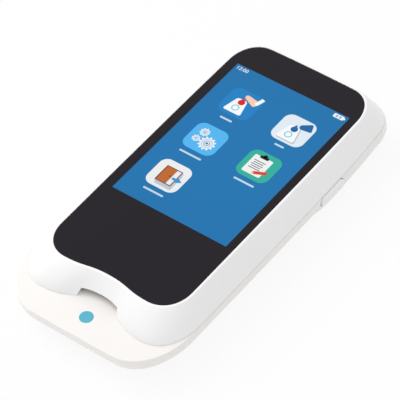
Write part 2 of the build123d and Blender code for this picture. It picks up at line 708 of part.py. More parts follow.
def cover_glass():
    """Black-backed glass with a waved front edge."""
    glass = extrude(GLASS_PLAN.face(TOUCH_TOP_Z), amount=GLASS_THICK)
    return fillet(glass.faces().sort_by(Axis.Z)[-1].edges(), GLASS_EDGE)


def glass_adhesive():
    """Frame of foam tape between the glass and the housing's deck."""
    frame = extrude(GLASS_PLAN.grown(-ADHESIVE_INSET).face(DECK_TOP_Z), amount=ADHESIVE_THICK)
    return frame - display_box(WINDOW_GAP, 0, FAR)


def touch_sensor():
    return display_box(0, PANEL_TOP_Z, TOUCH_TOP_Z)


def lcd_panel():
    return display_box(0, BACKLIGHT_TOP_Z, PANEL_TOP_Z)


def lcd_backlight():
    return display_box(0, BRACKET_TOP_Z, BACKLIGHT_TOP_Z)


def display_bracket():
    """Shallow tray that holds the display up against the glass, with four ears."""
    tray = display_box(BRACKET_REACH, BRACKET_UNDER_Z, BACKLIGHT_TOP_Z)
    tray -= display_box(BRACKET_GAP, BRACKET_TOP_Z, FAR)
    tray -= block(FLEX_WIDTH + 2 * FLEX_PLAY, PANEL_FRONT_Y - FAR, PANEL_FRONT_Y, BRACKET_TOP_Z, FAR)
    for x, y in EAR_PLACES:
        towards = 1 if y < DISPLAY_Y else -1
        ear = block(BRACKET_EAR, y - BRACKET_EAR / 2, y + BRACKET_EAR / 2,
                    BRACKET_UNDER_Z, BRACKET_TOP_Z, x)
        tray += ear + Pos(0, towards * BRACKET_EAR_ROOT, 0) * ear
    for x, y in EAR_PLACES:
        tray -= post(x, y, 0, FAR, BRACKET_SCREW_SHANK + SCREW_PLAY)
    return tray


def screws(places, seat_z, tip_z, shank, head, head_high):
    """Plain screws with cross recesses, driven from the seat towards the tip."""
    away = -1 if tip_z > seat_z else 1
    end_z = seat_z + away * head_high
    made = []
    for x, y in places:
        body = post(x, y, min(seat_z, tip_z), max(seat_z, tip_z), shank)
        body += post(x, y, min(seat_z, end_z), max(seat_z, end_z), head)
        for angle in (0, 90):
            body -= Pos(x, y, end_z) * Rot(0, 0, angle) * Box(DRIVE_LENGTH, DRIVE_WIDTH, 2 * DRIVE_DEEP)
        made.append(body)
    return Compound(children=made)


def bracket_screws():
    return screws(EAR_PLACES, BRACKET_UNDER_Z, BRACKET_TOP_Z + BRACKET_SCREW_BITE,
                  BRACKET_SCREW_SHANK, BRACKET_SCREW_HEAD, BRACKET_SCREW_HEAD_HIGH)


def housing_screws():
    return screws(BOSS_PLACES, SEAT_Z, PARTING_Z + HOUSING_SCREW_BITE,
                  HOUSING_SCREW_SHANK, HOUSING_SCREW_HEAD, HOUSING_SCREW_HEAD_HIGH)


def board_screws():
    return screws(BOARD_POSTS, BOARD_TOP_Z, BOARD_Z - BOARD_SCREW_BITE,
                  BOARD_SCREW_SHANK, BOARD_SCREW_HEAD, BOARD_SCREW_HEAD_HIGH)


def main_board():
    """Circuit board with notches round the bosses and clear holes over the posts."""
    board = block(2 * BOARD_HALF, BOARD_FRONT_Y, BOARD_BACK_Y, BOARD_Z, BOARD_TOP_Z)
    upright = board.edges().filter_by(Axis.Z).sort_by(Axis.Y)
    board = fillet(upright[2:], BOARD_CORNER_BACK)
    board = fillet(board.edges().filter_by(Axis.Z).sort_by(Axis.Y)[:2], BOARD_CORNER_FRONT)
    for x, y in BOSS_PLACES:
        board -= post(x, y, 0, FAR, BOSS_RADIUS + BOARD_CLEAR)
        board -= block(2 * BOSS_RADIUS, y - BOSS_RADIUS - BOARD_CLEAR, y + BOSS_RADIUS + BOARD_CLEAR,
                       0, FAR, x + (BOSS_RADIUS if x > 0 else -BOSS_RADIUS))
    for x, y in BOARD_POSTS:
        board -= post(x, y, 0, FAR, BOARD_SCREW_SHANK + SCREW_PLAY)
    return board


def strip_guide():
    """Channel from the slot to the connector, with a pocket for the heater plate."""
    half = STRIP_WIDTH / 2 + GUIDE_PLAY
    floor_z = STRIP_Z - GUIDE_FLOOR
    guide = block(2 * (half + GUIDE_WALL), GUIDE_FRONT_Y, GUIDE_BACK_Y, floor_z, STRIP_Z + GUIDE_RISE)
    guide -= block(2 * half, GUIDE_FRONT_Y, GUIDE_BACK_Y, STRIP_Z, FAR)
    inner_corners = guide.edges().filter_by(Axis.Z).sort_by(Axis.Y)[:4].sort_by(Axis.X)[1:3]
    guide = chamfer(inner_corners, GUIDE_LEAD_IN)
    for side in (-1, 1):
        guide += block(GUIDE_WALL, BOARD_FRONT_Y + GUIDE_LEG_INSET, GUIDE_BACK_Y, BOARD_TOP_Z, floor_z,
                       side * (half + GUIDE_WALL / 2))
    guide -= heater_plate(HEATER_FIT)
    guide -= heater_sensor(HEATER_FIT)
    return guide


def heater_plate(margin=0.0):
    """Aluminium plate that warms the strip, level with the channel's floor."""
    back = GUIDE_BACK_Y - HEATER_BACK_SHIFT
    return block(HEATER_X + 2 * margin, back - HEATER_Y - margin, back + margin,
                 STRIP_Z - HEATER_THICK, STRIP_Z)


def heater_sensor(margin=0.0):
    """Temperature sensor stuck under the heater plate."""
    middle = GUIDE_BACK_Y - HEATER_BACK_SHIFT - HEATER_Y / 2
    return block(SENSOR_X + 2 * margin, middle - SENSOR_Y / 2 - margin, middle + SENSOR_Y / 2 + margin,
                 STRIP_Z - GUIDE_FLOOR, STRIP_Z - HEATER_THICK)


def contact_row(piece):
    """One copy of a piece at each contact of the strip connector."""
    middle = (CONTACT_COUNT - 1) / 2
    return Compound(children=[
        Pos((number - middle) * CONTACT_PITCH, 0, 0) * piece for number in range(CONTACT_COUNT)])


def strip_connector():
    """Body on the board that takes the strip's contact end, with a groove over each contact."""
    slot_top = STRIP_Z + CONNECTOR_SLOT
    body = block(CONNECTOR_X, CONNECTOR_FRONT_Y, CONNECTOR_FRONT_Y + CONNECTOR_Y,
                 BOARD_TOP_Z, STRIP_Z + CONNECTOR_RISE)
    body -= block(STRIP_WIDTH + 2 * STRIP_PLAY, CONNECTOR_FRONT_Y,
                  CONNECTOR_FRONT_Y + CONNECTOR_SLOT_DEEP, STRIP_Z, slot_top)
    return body - contact_row(block(CONTACT_WIDTH + 2 * CONTACT_PLAY, CONNECTOR_FRONT_Y + CONNECTOR_LIP,
                                    FAR, slot_top, FAR))


def strip_contacts():
    """Gold springs, one in each groove, bent down behind the connector to the board."""
    high = STRIP_Z + CONNECTOR_RISE - CONTACT_TOP
    low = STRIP_Z + CONNECTOR_SLOT + CONTACT_THICK
    tip = CONNECTOR_FRONT_Y + CONNECTOR_LIP + CONTACT_TIP
    touch = tip + CONTACT_BEND
    back = CONNECTOR_FRONT_Y + CONNECTOR_Y + CONTACT_TAIL
    points = [(tip, low + CONTACT_LIFT), (touch, low), (touch + CONTACT_RAMP, high), (back, high),
              (back, BOARD_TOP_Z)]
    return contact_row(ribbon(points, CONTACT_THICK, CONTACT_WIDTH, Side.LEFT))


def sample_mark(margin=0.0):
    """Round blue inlay in the tongue, tilted with it."""
    tilt = Pos(0, MARK_Y, tongue_z(MARK_Y)) * Rot(TONGUE_ANGLE, 0, 0)
    return tilt * (Pos(0, 0, (margin - MARK_THICK) / 2)
                   * Cylinder(MARK_RADIUS + margin, MARK_THICK + margin))


def side_wall_x():
    """Outer face of the right-hand wall behind the button."""
    return lower_plan(BUTTON_Z).half_hip


def flange_space():
    """Flat seat inside the wall for the button's flange."""
    seat = side_wall_x() - WALL
    length = BUTTON_LENGTH + 2 * (BUTTON_FLANGE_OVER + BUTTON_PLAY)
    return block(seat - SWITCH_FACE_X, BUTTON_Y - length / 2, BUTTON_Y + length / 2,
                 BUTTON_Z - BUTTON_HEIGHT / 2 - BUTTON_PLAY, FAR, (seat + SWITCH_FACE_X) / 2)


def power_button():
    """Pill-shaped cap with a flange inside the wall and a stem."""
    outer = side_wall_x() + BUTTON_PROUD
    inner = side_wall_x() - WALL - BUTTON_PLAY
    cap = button_space(0, inner, outer)
    cap = fillet(cap.faces().sort_by(Axis.X)[-1].edges(), BUTTON_EDGE)
    flange = SlotOverall(BUTTON_LENGTH + 2 * BUTTON_FLANGE_OVER, BUTTON_HEIGHT)
    plane = Plane(origin=(inner, BUTTON_Y, BUTTON_Z), x_dir=(0, 1, 0), z_dir=(1, 0, 0))
    cap += extrude(plane * flange, amount=-BUTTON_FLANGE_THICK)
    stem = extrude(plane * Circle(BUTTON_STEM_RADIUS), amount=-(inner - SWITCH_FACE_X - PLUNGER_OUT))
    return cap + stem


def switch_plunger():
    """Plunger of the side switch, pushed by the stem."""
    plane = Plane(origin=(SWITCH_FACE_X + PLUNGER_OUT, BUTTON_Y, BUTTON_Z), z_dir=(-1, 0, 0))
    return extrude(plane * Circle(PLUNGER_RADIUS), amount=PLUNGER_OUT + PLUNGER_REACH)


def side_switch():
    """Tact switch on the board's right-hand edge, bored for its plunger."""
    body = block(SWITCH_X, BUTTON_Y - SWITCH_Y / 2, BUTTON_Y + SWITCH_Y / 2,
                 BOARD_TOP_Z, 2 * BUTTON_Z - BOARD_TOP_Z, SWITCH_FACE_X - SWITCH_X / 2)
    plane = Plane(origin=(SWITCH_FACE_X, BUTTON_Y, BUTTON_Z), z_dir=(-1, 0, 0))
    return body - extrude(plane * Circle(PLUNGER_RADIUS + PLUNGER_FIT),
                          amount=PLUNGER_REACH + BUTTON_TRAVEL + PLUNGER_END_GAP)


def socket_opening():
    """Slot in the back wall for the charging plug, open up to the seam."""
    mouth = block(SOCKET_X + 2 * SOCKET_GAP, SOCKET_BACK_Y - WALL, FAR,
                  BOARD_TOP_Z - SOCKET_GAP, FAR)
    low = mouth.edges().filter_by(Axis.Y).sort_by(Axis.Z)[:2]
    return fillet(low, SOCKET_ROUND)


def charging_socket():
    """Steel shell with a tongue inside, soldered to the board's back edge."""
    plane = Plane(origin=(0, SOCKET_BACK_Y, SOCKET_MID_Z), x_dir=(1, 0, 0), z_dir=(0, -1, 0))
    shell = extrude(plane * RectangleRounded(SOCKET_X, SOCKET_Z, SOCKET_ROUND), amount=SOCKET_Y)
    hollow = RectangleRounded(SOCKET_X - 2 * SOCKET_SHEET, SOCKET_Z - 2 * SOCKET_SHEET,
                              SOCKET_ROUND - SOCKET_SHEET)
    shell -= extrude(plane * hollow, amount=SOCKET_Y - SOCKET_BACK_PLATE)
    root = SOCKET_BACK_Y - SOCKET_Y
    return shell + block(SOCKET_TONGUE_X, root, root + SOCKET_BACK_PLATE + SOCKET_TONGUE_Y,
                         SOCKET_MID_Z - SOCKET_TONGUE_Z / 2, SOCKET_MID_Z + SOCKET_TONGUE_Z / 2)


def beeper():
    top = BOARD_TOP_Z + BEEPER_HIGH
    can = post(BEEPER_X, BEEPER_Y, BOARD_TOP_Z, top, BEEPER_RADIUS)
    return can - post(BEEPER_X, BEEPER_Y, top - BEEPER_HOLE_DEEP, top, BEEPER_HOLE)


def shield_can():
    front, back = SHIELD_CENTRE_Y - SHIELD_Y / 2, SHIELD_CENTRE_Y + SHIELD_Y / 2
    can = block(SHIELD_X, front, back, BOARD_TOP_Z, BOARD_TOP_Z + SHIELD_HIGH)
    return can - block(SHIELD_X - 2 * SHIELD_SHEET, front + SHIELD_SHEET, back - SHIELD_SHEET,
                       BOARD_TOP_Z, BOARD_TOP_Z + SHIELD_HIGH - SHIELD_SHEET)


def chip(side, place):
    """A square chip on the board, centred on a place."""
    x, y = place
    return block(side, y - side / 2, y + side / 2, BOARD_TOP_Z, BOARD_TOP_Z + CHIP_HIGH, x)


def board_chips():
    """Processor, memory, charging chip and, under the shield can, the measuring chip."""
    return Compound(children=[
        chip(PROCESSOR_SIDE, PROCESSOR_PLACE), chip(MEMORY_SIDE, MEMORY_PLACE),
        chip(CHARGER_SIDE, CHARGER_PLACE), chip(METER_SIDE, METER_PLACE)])


def flex_connector():
    return block(FLEX_CONNECTOR_X, FLEX_CONNECTOR_FRONT_Y, FLEX_CONNECTOR_FRONT_Y + FLEX_CONNECTOR_Y,
                 BOARD_TOP_Z, BOARD_TOP_Z + FLEX_CONNECTOR_Z)


def display_flex():
    """Ribbon from the display's front edge round and down to its connector."""
    high = (BRACKET_TOP_Z + BACKLIGHT_TOP_Z) / 2
    low = BOARD_TOP_Z + FLEX_CONNECTOR_Z / 2
    turn = PANEL_FRONT_Y - FLEX_REACH
    points = [(PANEL_FRONT_Y, high), (turn, high), (turn, low), (FLEX_CONNECTOR_FRONT_Y, low)]
    return ribbon(points, FLEX_THICK, FLEX_WIDTH, Side.LEFT, FLEX_BEND)


def rubber_feet():
    return Compound(children=[
        post(x, y, 0, FLOOR_Z + FOOT_SUNK, FOOT_RADIUS) for x, y in FOOT_PLACES])


NODES = [
    upper_housing, lower_housing, cover_glass, glass_adhesive, touch_sensor, lcd_panel,
    lcd_backlight, display_bracket, bracket_screws, main_board, board_screws, board_chips,
    shield_can, flex_connector, display_flex, strip_guide, heater_plate, heater_sensor,
    strip_connector, strip_contacts, sample_mark, battery_door, battery_pack, battery_terminal,
    battery_blades, charging_socket, beeper, side_switch, switch_plunger, power_button,
    housing_screws, rubber_feet,
]

for make in NODES:
    export_step(make(), f"parts/{make.__name__}.step")
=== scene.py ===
# %% [markdown]
# # A hand-held coagulation meter
# The meter is a white two-part housing with a black cover glass, a lit display, a tongue for
# the test strip and a button in its side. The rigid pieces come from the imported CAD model, so
# this lesson is about what a maker adds to them: finishes, the lit picture behind the glass,
# the light and the camera.

from math import atan2, pi, radians

import bpy
from mathutils import Matrix, Vector


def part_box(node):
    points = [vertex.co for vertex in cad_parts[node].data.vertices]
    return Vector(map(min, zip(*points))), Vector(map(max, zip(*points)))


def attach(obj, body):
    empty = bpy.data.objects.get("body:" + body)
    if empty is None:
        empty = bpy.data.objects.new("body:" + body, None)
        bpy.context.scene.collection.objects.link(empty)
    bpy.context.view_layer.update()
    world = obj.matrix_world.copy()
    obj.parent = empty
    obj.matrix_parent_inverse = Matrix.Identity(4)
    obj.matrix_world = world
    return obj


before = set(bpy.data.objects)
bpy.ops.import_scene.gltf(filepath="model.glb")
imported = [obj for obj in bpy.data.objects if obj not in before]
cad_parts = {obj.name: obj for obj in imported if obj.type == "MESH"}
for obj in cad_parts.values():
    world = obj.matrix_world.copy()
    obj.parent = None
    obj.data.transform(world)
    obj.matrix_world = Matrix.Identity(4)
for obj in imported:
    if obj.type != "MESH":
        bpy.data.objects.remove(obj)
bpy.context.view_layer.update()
MM = 0.001

# %% [markdown]
# ## The camera first
# The photograph looks down on the meter from its front right, with a long lens, so that the
# far end hardly looks smaller. The camera's place and its turn come from a fit of the lit
# picture's corners, taken as those of a common panel of 48.96 by 73.44 mm. A long lens is one
# number, the focal length.

# %% Camera
CAMERA_TARGET = Vector((4.84, -8.3, 22.0)) * MM
CAMERA_BACK = Vector((0.4340, -0.5213, 0.7348)).normalized()
CAMERA_RIGHT = Vector((0.7991, 0.5995, -0.0467))
CAMERA_DISTANCE = 928.6 * MM
CAMERA_LENS = 243.0
SENSOR = 36.0

across = (CAMERA_RIGHT - CAMERA_BACK * CAMERA_RIGHT.dot(CAMERA_BACK)).normalized()
upwards = CAMERA_BACK.cross(across)
place = CAMERA_TARGET + CAMERA_BACK * CAMERA_DISTANCE
bpy.ops.object.camera_add(location=place)
camera = bpy.context.object
turn = Matrix((across, upwards, CAMERA_BACK)).transposed()
camera.matrix_world = Matrix.Translation(place) @ turn.to_4x4()
camera.data.lens = CAMERA_LENS
camera.data.sensor_width = SENSOR
camera.data.clip_end = 20.0
bpy.context.scene.camera = camera
bpy.context.scene.view_settings.view_transform = "Standard"
print("camera at", [round(v, 4) for v in place])

# %% [markdown]
# ## Shader maths written as sums
# A procedural finish is arithmetic on patterns. Wiring each Math node by hand hides that
# arithmetic, so a small class wraps a socket and lets Python's own signs add the nodes.

# %% A socket that can be added and multiplied
# The Mix node's colour sockets are found by number, because several of its sockets share a name.
MIXED_COLOUR = 2
LOW_COLOUR = 6
HIGH_COLOUR = 7


class Field:
    """One output socket, with the arithmetic that shader maths needs."""

    def __init__(self, recipe, socket):
        self.recipe = recipe
        self.socket = socket

    def math(self, operation, *values):
        return self.recipe.node("ShaderNodeMath", 0, {"operation": operation}, *values)

    def __add__(self, other):
        return self.math("ADD", self, other)

    def __sub__(self, other):
        return self.math("SUBTRACT", self, other)

    def __mul__(self, other):
        return self.math("MULTIPLY", self, other)

    def __rsub__(self, other):
        return self.math("SUBTRACT", other, self)

    __radd__ = __add__
    __rmul__ = __mul__


class Recipe:
    """One material and the nodes that make its finish."""

    def __init__(self, name, **shader):
        self.material = bpy.data.materials.new(name)
        self.material.use_nodes = True
        self.tree = self.material.node_tree
        self.shader = self.tree.nodes["Principled BSDF"]
        for socket, value in shader.items():
            self.shader.inputs[socket.replace("_", " ")].default_value = value
        self.place = self.node("ShaderNodeTexCoord", "Object")

    def node(self, kind, output, settings=None, *values, **named):
        """Adds a node: its settings first, then the values or links of its sockets."""
        made = self.tree.nodes.new(kind)
        for setting, value in (settings or {}).items():
            setattr(made, setting, value)
        for socket, value in list(enumerate(values)) + list(named.items()):
            key = socket.replace("_", " ") if isinstance(socket, str) else socket
            if isinstance(value, Field):
                self.tree.links.new(value.socket, made.inputs[key])
            else:
                made.inputs[key].default_value = value
        return Field(self, made.outputs[output])

    def feed(self, socket, field):
        self.tree.links.new(field.socket, self.shader.inputs[socket])

    def noise(self, size, detail=2.0, stretch=(1, 1, 1)):
        """Soft clouds about `size` millimetres across, from 0 to 1."""
        spot = self.node("ShaderNodeMapping", "Vector", {}, self.place, Scale=stretch)
        return self.node("ShaderNodeTexNoise", "Fac", {}, Vector=spot, Scale=1 / (size * MM),
                         Detail=detail)

    def axis(self, name):
        """One coordinate of the place, in millimetres."""
        return self.node("ShaderNodeSeparateXYZ", name, {}, self.place) * (1 / MM)

    def mix(self, share, low, high):
        """A colour between two colours."""
        made = self.node("ShaderNodeMix", MIXED_COLOUR, {"data_type": "RGBA"}, share)
        inputs = made.socket.node.inputs
        inputs[LOW_COLOUR].default_value = low
        inputs[HIGH_COLOUR].default_value = high
        return made

    def bump(self, height, strength, depth):
        """Relief of `depth` millimetres where the height goes from 0 to 1."""
        relief = self.node("ShaderNodeBump", "Normal", {}, Strength=strength, Distance=depth * MM,
                           Height=height)
        self.feed("Normal", relief)


def linear(red, green, blue):
    """A screen colour from 0 to 255 as the linear colour that a shader takes."""
    def undo(value):
        share = value / 255
        return share / 12.92 if share <= 0.04045 else ((share + 0.055) / 1.055) ** 2.4
    return (undo(red), undo(green), undo(blue), 1.0)


def dress(node, recipe):
    """Gives a CAD node its finish in place of the plain one that it was loaded with."""
    node_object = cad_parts[node]
    for slot in node_object.material_slots:
        slot.material = recipe.material
    if not node_object.material_slots:
        node_object.data.materials.append(recipe.material)


# %% [markdown]
# ## Moulded plastic
# The housing is a white moulding with a satin skin. The real one has a fine spark-eroded grain
# and a little unevenness in its gloss where it cooled at different speeds. The lower half is
# given a slightly warmer, darker white. Fine noise makes the grain, and broad noise moves the
# roughness.

# %% Housing, button and door
GRAIN_SIZE = 0.22
GRAIN_DEPTH = 0.006
GRAIN_DULLING = 0.05
CLOUD_SIZE = 18.0
CLOUD_DULLING = 0.06


def moulded(name, colour, warmer, roughness):
    """Satin plastic: a fine grain in the relief, and broad clouds in colour and gloss."""
    recipe = Recipe(name, IOR=1.49, Specular_IOR_Level=0.45)
    cloud = recipe.noise(CLOUD_SIZE, 2.0)
    grain = recipe.noise(GRAIN_SIZE, 3.0)
    recipe.feed("Base Color", recipe.mix(cloud, linear(*colour), linear(*warmer)))
    recipe.feed("Roughness", roughness + cloud * CLOUD_DULLING + grain * GRAIN_DULLING)
    recipe.bump(grain, 0.5, GRAIN_DEPTH)
    return recipe


shell = moulded("shell_white", (250, 250, 250), (247, 247, 247), 0.24)
tray = moulded("tray_white", (247, 244, 241), (243, 240, 238), 0.28)
cap = moulded("button_white", (246, 246, 247), (243, 243, 244), 0.30)
dress("upper_housing", shell)
dress("lower_housing", tray)
dress("battery_door", tray)
dress("power_button", cap)
print("plastics", shell.material.name, tray.material.name, cap.material.name)

# %% [markdown]
# ## Cover glass
# The glass is printed black from behind, so it looks like a deep, even black with a clean
# reflection. Fingers leave faint films that show in the gloss far more than in the colour, so
# the same pattern moves the roughness clearly and the black hardly at all.

# %% Cover glass
GLASS_GLOSS = 0.2
GLASS_ROUGHNESS = 0.05
FILM_SIZE = 26.0
FILM_DULLING = 0.05
STREAK_SIZE = 3.0
STREAK_DULLING = 0.02

glass = Recipe("cover_glass_black", IOR=1.5, Specular_IOR_Level=GLASS_GLOSS)
film = glass.noise(FILM_SIZE, 3.0, (1, 0.6, 1))
streak = glass.noise(STREAK_SIZE, 2.0, (1, 0.15, 1))
glass.feed("Base Color", glass.mix(film, linear(18, 10, 21), linear(22, 14, 25)))
glass.feed("Roughness", GLASS_ROUGHNESS + film * FILM_DULLING + streak * STREAK_DULLING)
dress("cover_glass", glass)

# %% [markdown]
# ## The sample mark and the rubber feet
# The mark is a smooth cyan inlay that shows where the sample goes. The feet are a dull dark
# rubber, with dust in their pores.

# %% Mark and feet
PORE_SIZE = 0.35
PORE_DEPTH = 0.03
PORE_DULLING = 0.15

mark = Recipe("sample_mark_cyan", IOR=1.46, Roughness=0.35)
mark.feed("Base Color", mark.mix(mark.noise(1.2), linear(68, 172, 198), linear(78, 180, 204)))
dress("sample_mark", mark)

rubber = Recipe("foot_rubber", IOR=1.5, Specular_IOR_Level=0.3)
pores = rubber.noise(PORE_SIZE, 4.0)
rubber.feed("Base Color", rubber.mix(pores, linear(52, 52, 54), linear(70, 70, 72)))
rubber.feed("Roughness", 0.72 + pores * PORE_DULLING)
rubber.bump(pores, 0.6, PORE_DEPTH)
dress("rubber_feet", rubber)

# %% [markdown]
# ## Inside the housing
# The inner pieces are seen only through the slot, the charging port or with the door slid
# back. Each still has the finish of what it is: green lacquer with a copper pattern under it,
# rolled steel, black moulding compound, gold plate, foil.

# %% Circuit board and metal
TRACKS_PER_METRE = 220.0
TRACK_DEPTH = 0.02

board = Recipe("board_green", IOR=1.5, Roughness=0.35, Coat_Weight=0.4)
tracks = board.node("ShaderNodeTexBrick", "Fac", {}, Vector=board.place, Scale=TRACKS_PER_METRE,
                    Mortar_Size=0.01)
board.feed("Base Color", board.mix(tracks, linear(18, 84, 48), linear(36, 112, 66)))
board.bump(tracks, 0.3, TRACK_DEPTH)
dress("main_board", board)

ROLLED_SIZE = 0.8
ROLLED_DEPTH = 0.004
ROLLED_BRIGHT = 1.12
ROLLED_DULLING = 0.12


def metal(name, colour, roughness, stretch):
    """Rolled or plated metal, with fine lines across the way it is stretched."""
    recipe = Recipe(name, Metallic=1.0)
    lines = recipe.noise(ROLLED_SIZE, 3.0, stretch)
    bright = tuple(min(1.0, part * ROLLED_BRIGHT) for part in linear(*colour)[:3]) + (1.0,)
    recipe.feed("Base Color", recipe.mix(lines, linear(*colour), bright))
    recipe.feed("Roughness", roughness + lines * ROLLED_DULLING)
    recipe.bump(lines, 0.25, ROLLED_DEPTH)
    return recipe


steel = metal("steel_plated", (196, 198, 202), 0.22, (1, 6, 1))
for node in ("bracket_screws", "board_screws", "housing_screws", "shield_can", "charging_socket"):
    dress(node, steel)
gold = metal("contact_gold", (222, 178, 96), 0.2, (6, 1, 1))
dress("strip_contacts", gold)
dress("battery_blades", gold)
dress("heater_plate", metal("heater_aluminium", (206, 208, 210), 0.3, (1, 8, 1)))


# %% Plastics, film and foil inside
SPECKLE_DULLING = 0.15


def dull(name, colour, lighter, size=0.6, roughness=0.55, depth=0.01):
    """Plain plastic, resin, foam or film with speckles of a size and depth in millimetres."""
    recipe = Recipe(name, IOR=1.5, Specular_IOR_Level=0.4)
    speckle = recipe.noise(size, 3.0)
    recipe.feed("Base Color", recipe.mix(speckle, linear(*colour), linear(*lighter)))
    recipe.feed("Roughness", roughness + speckle * SPECKLE_DULLING)
    recipe.bump(speckle, 0.4, depth)
    return recipe


black_resin = dull("chip_black", (34, 34, 36), (44, 44, 46))
for node in ("board_chips", "heater_sensor", "beeper", "side_switch"):
    dress(node, black_resin)
guide_black = dull("guide_black", (30, 31, 33), (40, 41, 43), roughness=0.4)
for node in ("strip_guide", "battery_terminal", "display_bracket"):
    dress(node, guide_black)
cream = dull("connector_cream", (226, 216, 192), (236, 228, 208), roughness=0.4)
for node in ("strip_connector", "flex_connector", "switch_plunger"):
    dress(node, cream)
dress("glass_adhesive", dull("foam_tape_black", (20, 20, 21), (32, 32, 33), 0.3, 0.85, 0.03))
dress("display_flex", dull("flex_amber", (176, 104, 32), (196, 124, 46), 2.0, 0.3, 0.004))
dress("lcd_backlight", dull("backlight_white", (232, 234, 236), (240, 241, 243), 5.0, 0.5))
panel = dull("panel_dark", (16, 20, 30), (22, 28, 40), 8.0, 0.12, 0.001)
dress("lcd_panel", panel)
dress("touch_sensor", panel)
dress("battery_pack", metal("battery_foil", (168, 176, 186), 0.34, (2, 1, 1)))
undressed = [name for name, node_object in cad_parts.items()
             if not all(slot.material for slot in node_object.material_slots)]
print("nodes with no finish:", undressed)

# %% [markdown]
# ## The lit picture
# A display shows its picture by its own light, so each colour is an emission and the glass over
# it adds only gloss. Each tile and sign is a thin plate, drawn as by hand from a plane or a
# circle: corners rounded by a vertex bevel, edges pulled in or out, and a Solidify modifier for
# its thickness. The plates lie in layers two hundredths of a millimetre apart.

# %% Colours of light
GLASS_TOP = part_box("cover_glass")[1][2]
LAYER = 0.02 * MM
PICTURE_X = 48.96
PICTURE_Y = 73.44
PICTURE_MIDDLE_X = 0.4
PICTURE_MIDDLE_Y = 16.3
PIXEL = 0.153
GLOSS_VEIL = 0.018
RIM_DIMMING = 0.06
PIXEL_DIMMING = 0.01


def lit(name, red, green, blue):
    """A colour of the picture: light through a grid of pixels, a little dimmer at the rim.

    What the glass mirrors is added by the renderer, so as much is taken off the light.
    """
    recipe = Recipe("lit_" + name, Roughness=0.07, IOR=1.5, Specular_IOR_Level=GLASS_GLOSS,
                    Emission_Strength=1.0, Base_Color=(0.004, 0.004, 0.005, 1.0))
    wave_x = recipe.axis("X") * (2 * pi / PIXEL)
    wave_y = recipe.axis("Y") * (2 * pi / PIXEL)
    grid = wave_x.math("COSINE", wave_x) + wave_y.math("COSINE", wave_y)
    out = (recipe.axis("Y") - PICTURE_MIDDLE_Y) * (2 / PICTURE_Y)
    dim = RIM_DIMMING * (out * out) + PIXEL_DIMMING * grid
    full = tuple(max(part - GLOSS_VEIL, 0.0) for part in linear(red, green, blue)[:3]) + (1.0,)
    deep = tuple(part / 2 for part in full[:3]) + (1.0,)
    recipe.feed("Emission Color", recipe.mix(dim, full, deep))
    return recipe


ground_blue = lit("ground", 33, 118, 177)
white_light = lit("white", 246, 250, 252)
caption_white = lit("caption", 196, 218, 236)
pale_blue = lit("pale_blue", 150, 190, 220)
tile_blue = lit("tile_blue", 38, 130, 196)
tile_pale = lit("tile_pale", 226, 236, 244)
tile_sky = lit("tile_sky", 86, 182, 240)
tile_teal = lit("tile_teal", 56, 176, 156)
tile_white = lit("tile_white", 236, 238, 240)
ring_teal = lit("ring_teal", 120, 205, 215)
skin = lit("skin", 250, 205, 180)
drop_red = lit("red", 224, 38, 34)
deep_blue = lit("deep_blue", 36, 104, 168)
soft_grey = lit("soft_grey", 188, 200, 212)
wheel_white = lit("wheel", 232, 240, 246)
wheel_line = lit("wheel_line", 170, 196, 216)
wheel_shade = lit("wheel_shade", 70, 122, 168)
paper = lit("paper", 240, 242, 240)
ink = lit("ink", 60, 72, 80)
clip_black = lit("black", 30, 34, 38)
pencil_red = lit("pencil_red", 214, 74, 48)
door_brown = lit("door_brown", 190, 106, 52)
door_dark = lit("door_dark", 120, 62, 34)
arrow_blue = lit("arrow", 60, 150, 214)


# %% Flat shapes cut as by hand
# A drop's tip is drawn out band by band: where a band starts and how far it goes, in radii.
DROP_BANDS = ((0.99, 0.45), (0.9, 0.28), (0.7, 0.16))
DROP_TIP = 0.8
DROP_TIP_NARROWER = 0.72


def start_piece(add, **options):
    """Adds one object with an operator, with nothing else selected."""
    bpy.ops.object.select_all(action="DESELECT")
    add(**options)
    return bpy.context.object


def select_points(piece, wanted):
    """Selects the points of a piece in edit mode by their place, in millimetres."""
    bpy.ops.object.mode_set(mode="OBJECT")
    for kind in (piece.data.vertices, piece.data.edges, piece.data.polygons):
        for part in kind:
            part.select = False
    for point in piece.data.vertices:
        point.select = wanted(point.co.x / MM, point.co.y / MM)
    bpy.ops.object.mode_set(mode="EDIT")
    bpy.ops.mesh.select_mode(type="VERT")


def plate(width, depth, radius=0.0):
    """A rectangle with round corners, centred on the origin."""
    piece = start_piece(bpy.ops.mesh.primitive_plane_add, size=1)
    piece.scale = (width * MM, depth * MM, 1)
    bpy.ops.object.transform_apply(location=False, rotation=False, scale=True)
    if radius:
        bpy.ops.object.mode_set(mode="EDIT")
        bpy.ops.mesh.select_all(action="SELECT")
        bpy.ops.mesh.bevel(offset=radius * MM, segments=8, affect="VERTICES")
        bpy.ops.object.mode_set(mode="OBJECT")
    return piece


def wedge(width, depth, radius, top_share):
    """A plate whose far edge is narrower."""
    piece = plate(width, depth)
    select_points(piece, lambda x, y: y > 0)
    bpy.ops.transform.resize(value=(top_share, 1, 1), center_override=(0, 0, 0))
    bpy.ops.mesh.select_all(action="SELECT")
    bpy.ops.mesh.bevel(offset=radius * MM, segments=6, affect="VERTICES")
    bpy.ops.object.mode_set(mode="OBJECT")
    return piece


def disc(radius, points=40):
    """A filled circle of as many points."""
    return start_piece(bpy.ops.mesh.primitive_circle_add, vertices=points, radius=radius * MM,
                       fill_type="NGON")


def ring(radius, width):
    """A disc inset to a ring."""
    piece = disc(radius)
    bpy.ops.object.mode_set(mode="EDIT")
    bpy.ops.mesh.select_all(action="SELECT")
    bpy.ops.mesh.inset(thickness=width * MM)
    bpy.ops.mesh.delete(type="FACE")
    bpy.ops.object.mode_set(mode="OBJECT")
    return piece


